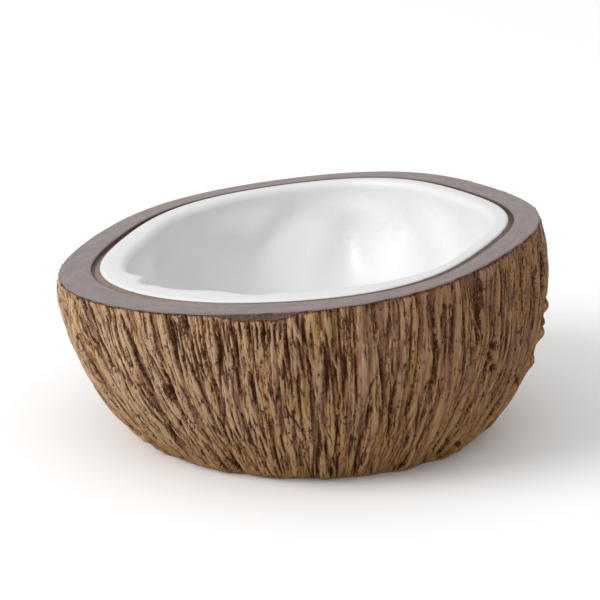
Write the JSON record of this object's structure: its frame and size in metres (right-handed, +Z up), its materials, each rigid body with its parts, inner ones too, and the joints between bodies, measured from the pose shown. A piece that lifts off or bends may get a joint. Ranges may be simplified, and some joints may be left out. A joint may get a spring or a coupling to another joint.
{
  "type": "coconut half water dish",
  "caption": "Small water or food dish cast as half a coconut: sculpted husk outside, sloping brown rim, smooth white hollow inside, flat foot.",
  "frame": {"origin": "on the plane the dish rests on, under the middle of its outline", "axes": "+Z up out of the open hollow, +X towards the side where the rim stands highest, +Y to the back"},
  "size_m": [0.1486, 0.148, 0.0662],
  "materials": {
    "husk_paint": "sculpted fibres in tan paint with a dark brown wash in the grooves, satin to matt",
    "rim_paint": "smooth purplish brown, satin",
    "flesh_paint": "white, smooth and slightly lumpy, satin gloss"
  },
  "bodies": {
    "root": {"coconut_dish": "husk_paint"}
  },
  "joints": []
}
